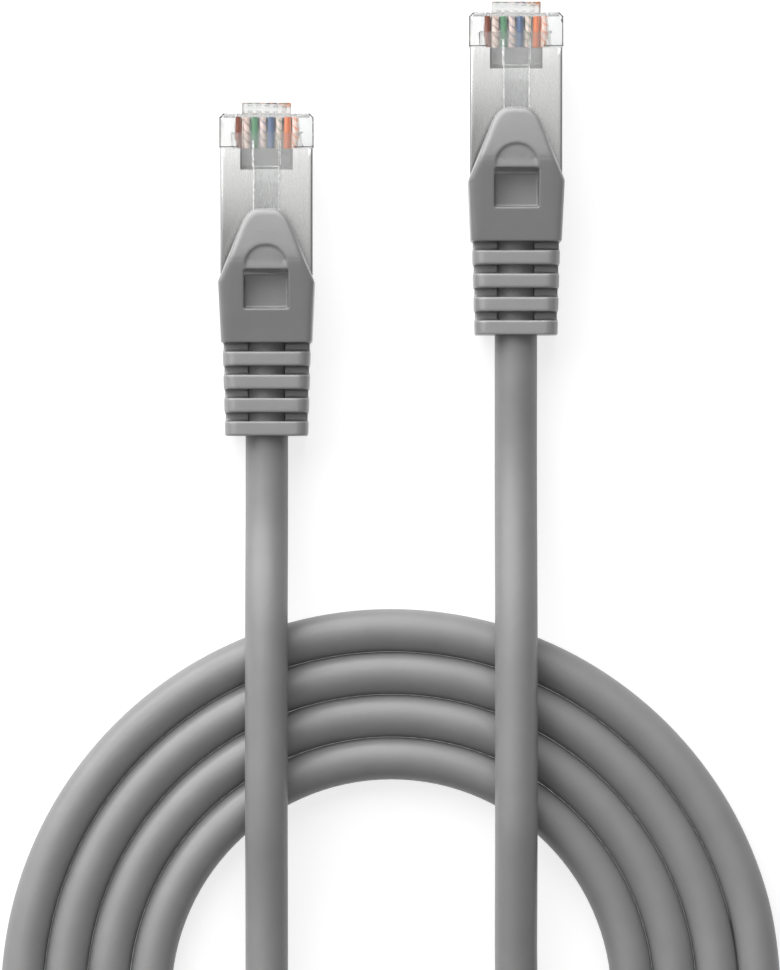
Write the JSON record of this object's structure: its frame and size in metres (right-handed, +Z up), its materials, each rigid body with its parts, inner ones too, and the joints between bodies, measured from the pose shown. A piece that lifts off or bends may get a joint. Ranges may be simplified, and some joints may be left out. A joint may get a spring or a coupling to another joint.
{
  "type": "ethernet patch cable",
  "caption": "Shielded ethernet patch cable with clear modular plugs, spring latches and snagless moulded boots on one round cable wound into a flat coil.",
  "frame": {"origin": "on the surface the cable lies on, under the middle of the two plugs with their boots", "axes": "+X from plug A to plug B, +Y the way both plugs point, +Z up; the coil lies at -Y"},
  "size_m": [0.097, 0.1755, 0.0122],
  "materials": {
    "clear_plastic": "clear polycarbonate, polished",
    "comb_plastic": "clear polycarbonate, moulded",
    "shell_metal": "nickel-plated sheet, fine brushed",
    "copper": "bare copper",
    "foil": "thin foil, slightly creased",
    "tinned_copper": "tinned wire, satin",
    "jacket": "extruded PVC, satin",
    "boot_plastic": "moulded PVC, fine matt grain",
    "gold": "gold-plated, bright",
    "insulation_white_orange": "extruded polyethylene, white with a coloured stripe",
    "insulation_orange": "extruded polyethylene",
    "insulation_white_green": "extruded polyethylene, white with a coloured stripe",
    "insulation_blue": "extruded polyethylene",
    "insulation_white_blue": "extruded polyethylene, white with a coloured stripe",
    "insulation_green": "extruded polyethylene",
    "insulation_white_brown": "extruded polyethylene, white with a coloured stripe",
    "insulation_brown": "extruded polyethylene"
  },
  "bodies": {
    "cable": {"plug_housing_a": "clear_plastic", "load_bar_a": "comb_plastic", "shield_shell_a": "shell_metal", "conductors_a": "copper", "foil_shield_a": "foil", "drain_wire_a": "tinned_copper", "jacket_end_a": "jacket", "boot_a": "boot_plastic", "contact_1_a": "gold", "contact_2_a": "gold", "contact_3_a": "gold", "contact_4_a": "gold", "contact_5_a": "gold", "contact_6_a": "gold", "contact_7_a": "gold", "contact_8_a": "gold", "wire_white_orange_a": "insulation_white_orange", "wire_orange_a": "insulation_orange", "wire_white_green_a": "insulation_white_green", "wire_blue_a": "insulation_blue", "wire_white_blue_a": "insulation_white_blue", "wire_green_a": "insulation_green", "wire_white_brown_a": "insulation_white_brown", "wire_brown_a": "insulation_brown", "plug_housing_b": "clear_plastic", "load_bar_b": "comb_plastic", "shield_shell_b": "shell_metal", "conductors_b": "copper", "foil_shield_b": "foil", "drain_wire_b": "tinned_copper", "jacket_end_b": "jacket", "boot_b": "boot_plastic", "contact_1_b": "gold", "contact_2_b": "gold", "contact_3_b": "gold", "contact_4_b": "gold", "contact_5_b": "gold", "contact_6_b": "gold", "contact_7_b": "gold", "contact_8_b": "gold", "wire_white_orange_b": "insulation_white_orange", "wire_orange_b": "insulation_orange", "wire_white_green_b": "insulation_white_green", "wire_blue_b": "insulation_blue", "wire_white_blue_b": "insulation_white_blue", "wire_green_b": "insulation_green", "wire_white_brown_b": "insulation_white_brown", "wire_brown_b": "insulation_brown", "cable_lead_a": "jacket", "cable_coil": "jacket", "cable_lead_b": "jacket"},
    "latch_a": {"latch_a": "clear_plastic"},
    "tab_a": {"boot_tab_a": "boot_plastic"},
    "latch_b": {"latch_b": "clear_plastic"},
    "tab_b": {"boot_tab_b": "boot_plastic"}
  },
  "joints": [
    {"name": "hood_press_a", "type": "hinge", "parent": "cable", "child": "tab_a", "pos_m": [-0.0155, -0.00978, 0.0091], "axis": [-1, 0, 0], "range_deg": [0, 11], "stiffness_Nm_per_rad": 0.05},
    {"name": "latch_press_a", "type": "hinge", "parent": "cable", "child": "latch_a", "pos_m": [-0.0155, 0.01372, 0.0066], "axis": [1, 0, 0], "range_deg": [0, 8.4], "stiffness_Nm_per_rad": 0.08},
    {"name": "hood_press_b", "type": "hinge", "parent": "cable", "child": "tab_b", "pos_m": [0.0155, 0.00278, 0.0091], "axis": [-1, 0, 0], "range_deg": [0, 11], "stiffness_Nm_per_rad": 0.05},
    {"name": "latch_press_b", "type": "hinge", "parent": "cable", "child": "latch_b", "pos_m": [0.0155, 0.02627, 0.0066], "axis": [1, 0, 0], "range_deg": [0, 8.4], "stiffness_Nm_per_rad": 0.08}
  ],
  "couplings": [
    {"joint": "latch_press_a", "follows": "hood_press_a", "ratio": 0.76},
    {"joint": "latch_press_b", "follows": "hood_press_b", "ratio": 0.76}
  ]
}
